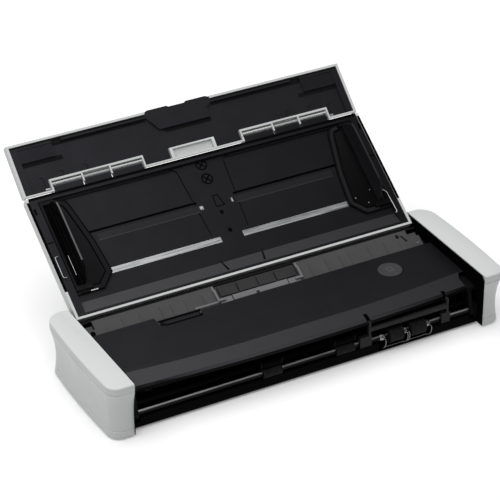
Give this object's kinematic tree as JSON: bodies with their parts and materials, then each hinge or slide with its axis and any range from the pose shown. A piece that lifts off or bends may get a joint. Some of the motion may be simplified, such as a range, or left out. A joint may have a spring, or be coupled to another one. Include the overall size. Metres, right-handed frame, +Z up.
{
  "type": "sheet fed document scanner",
  "caption": "Portable sheet fed document scanner with end caps, hinged feed tray and flap, sliding document guides, lifting top unit and roller drive inside.",
  "frame": {"origin": "on the floor plane under the middle of the base's footprint", "axes": "+Z up, -Y towards the front where sheets come out, +X to the right seen from the front"},
  "size_m": [0.285, 0.1882, 0.1102],
  "materials": {
    "white_shell": "satin moulded off-white",
    "black_plastic": "fine moulded grain",
    "cover_plastic": "smooth satin black",
    "button_plastic": "satin dark grey",
    "deck_plastic": "matte dark grey",
    "grey_plastic": "matte mid grey",
    "gear_plastic": "natural acetal",
    "steel": "ground",
    "dark_steel": "blackened ground shaft",
    "motor_metal": "plated can",
    "brass": "machined",
    "rubber": "soft matte",
    "sensor_plastic": "matte black",
    "clear_glass": "clear",
    "circuit_board": "solder mask green"
  },
  "bodies": {
    "base": {"bottom_cover": "black_plastic", "rear_cover": "black_plastic", "cap_tops": "white_shell", "left_cap_side": "white_shell", "right_cap_side": "white_shell", "cap_feet": "white_shell", "rubber_feet": "rubber", "bottom_screws": "steel", "main_board": "circuit_board", "usb_socket": "steel", "power_jack": "sensor_plastic", "lower_frame": "black_plastic", "shaft_bushes": "sensor_plastic", "idler_axles": "steel", "drive_motor": "motor_metal", "feed_deck": "deck_plastic", "separation_housing": "black_plastic", "paper_entry_plates": "grey_plastic", "lower_sensor": "sensor_plastic", "lower_glass": "clear_glass", "card_guide": "black_plastic", "card_wire_guards": "steel", "tray_hinge_pins": "steel"},
    "register_rotor": {"register_shaft": "dark_steel", "register_rollers": "rubber", "register_gear": "gear_plastic"},
    "eject_rotor": {"eject_shaft": "dark_steel", "eject_rollers": "rubber", "card_rollers": "rubber", "card_roller_bosses": "steel", "eject_gear": "gear_plastic"},
    "feed_rotor": {"feed_shaft": "dark_steel", "feed_roller": "rubber", "feed_gear": "gear_plastic"},
    "large_idler": {"large_idler_gear": "gear_plastic"},
    "small_idler": {"small_idler_gear": "gear_plastic"},
    "motor_rotor": {"motor_pinion": "brass"},
    "top_unit": {"top_cover": "cover_plastic", "top_frame": "black_plastic", "upper_sensor": "sensor_plastic", "upper_glass": "clear_glass", "separation_pad": "rubber", "button_switch": "sensor_plastic"},
    "button": {"start_button": "button_plastic"},
    "pinch_roller": {"pinch_rollers": "sensor_plastic"},
    "eject_idler": {"eject_idlers": "sensor_plastic"},
    "tray": {"tray_shell": "white_shell", "tray_panel": "black_plastic", "guide_strips_and_stops": "steel", "flap_hinge_pins": "steel", "tray_wire_clips": "steel"},
    "left_slide": {"left_guide": "black_plastic", "left_rack": "black_plastic"},
    "right_slide": {"right_guide": "black_plastic", "right_rack": "black_plastic"},
    "left_wing": {"left_fin": "black_plastic"},
    "right_wing": {"right_fin": "black_plastic"},
    "pinion": {"guide_pinion": "black_plastic"},
    "flap": {"flap_shell": "white_shell", "flap_panel": "black_plastic"}
  },
  "joints": [
    {"name": "tray_hinge", "type": "hinge", "parent": "base", "child": "tray", "pos_m": [0, 0.04279, 0.03573], "axis": [1, 0, 0], "range_deg": [0, 145.9]},
    {"name": "flap_hinge", "type": "hinge", "parent": "tray", "child": "flap", "pos_m": [0, 0.11464, 0.0855], "axis": [1, 0, 0], "range_deg": [0, 81.5]},
    {"name": "top_unit_hinge", "type": "hinge", "parent": "base", "child": "top_unit", "pos_m": [0, -0.0373, 0.0104], "axis": [-1, 0, 0], "range_deg": [-46, 0]},
    {"name": "start_button_press", "type": "slide", "parent": "top_unit", "child": "button", "axis": [0, 0, -1], "range_m": [0, 0.0008], "stiffness_N_per_m": 350, "springref_m": -0.001},
    {"name": "left_guide_slide", "type": "slide", "parent": "tray", "child": "left_slide", "axis": [-1, 0, 0], "range_m": [-0.078, 0]},
    {"name": "right_guide_slide", "type": "slide", "parent": "tray", "child": "right_slide", "axis": [1, 0, 0], "range_m": [-0.078, 0]},
    {"name": "left_fin_fold", "type": "hinge", "parent": "left_slide", "child": "left_wing", "pos_m": [-0.10865, 0.07883, 0.06366], "axis": [0, 0.8281, 0.5606], "range_deg": [0, 90.1]},
    {"name": "right_fin_fold", "type": "hinge", "parent": "right_slide", "child": "right_wing", "pos_m": [0.10865, 0.07883, 0.06366], "axis": [0, -0.8281, -0.5606], "range_deg": [0, 90.1]},
    {"name": "guide_pinion_spin", "type": "hinge", "parent": "tray", "child": "pinion", "pos_m": [0, 0.08444, 0.06251], "axis": [0, -0.5606, 0.8281], "continuous": true},
    {"name": "register_shaft_spin", "type": "hinge", "parent": "base", "child": "register_rotor", "pos_m": [0, 0, 0.0102], "axis": [1, 0, 0], "continuous": true},
    {"name": "eject_shaft_spin", "type": "hinge", "parent": "base", "child": "eject_rotor", "pos_m": [0, -0.0373, 0.0104], "axis": [1, 0, 0], "continuous": true},
    {"name": "feed_shaft_spin", "type": "hinge", "parent": "base", "child": "feed_rotor", "pos_m": [0, 0.0186, 0.0157], "axis": [1, 0, 0], "continuous": true},
    {"name": "large_idler_spin", "type": "hinge", "parent": "base", "child": "large_idler", "pos_m": [0, -0.01995, 0.01994], "axis": [1, 0, 0], "continuous": true},
    {"name": "small_idler_spin", "type": "hinge", "parent": "base", "child": "small_idler", "pos_m": [0, 0.0041, 0.01954], "axis": [1, 0, 0], "continuous": true},
    {"name": "motor_spin", "type": "hinge", "parent": "base", "child": "motor_rotor", "pos_m": [0, 0.03334, 0.01294], "axis": [1, 0, 0], "continuous": true},
    {"name": "pinch_roller_spin", "type": "hinge", "parent": "top_unit", "child": "pinch_roller", "pos_m": [0, 0, 0.0192], "axis": [1, 0, 0], "continuous": true},
    {"name": "eject_idler_spin", "type": "hinge", "parent": "top_unit", "child": "eject_idler", "pos_m": [0, -0.0373, 0.0167], "axis": [1, 0, 0], "continuous": true}
  ],
  "couplings": [
    {"joint": "right_guide_slide", "follows": "left_guide_slide", "ratio": 1},
    {"joint": "guide_pinion_spin", "follows": "left_guide_slide", "rad_per_m": 166.67},
    {"joint": "left_fin_fold", "follows": "tray_hinge", "ratio": 0.6169},
    {"joint": "right_fin_fold", "follows": "tray_hinge", "ratio": 0.6169},
    {"joint": "large_idler_spin", "follows": "register_shaft_spin", "ratio": -0.42308},
    {"joint": "eject_shaft_spin", "follows": "register_shaft_spin", "ratio": 1.5714},
    {"joint": "small_idler_spin", "follows": "register_shaft_spin", "ratio": -1.8333},
    {"joint": "feed_shaft_spin", "follows": "register_shaft_spin", "ratio": 0.57895},
    {"joint": "motor_spin", "follows": "register_shaft_spin", "ratio": -1.8333}
  ]
}
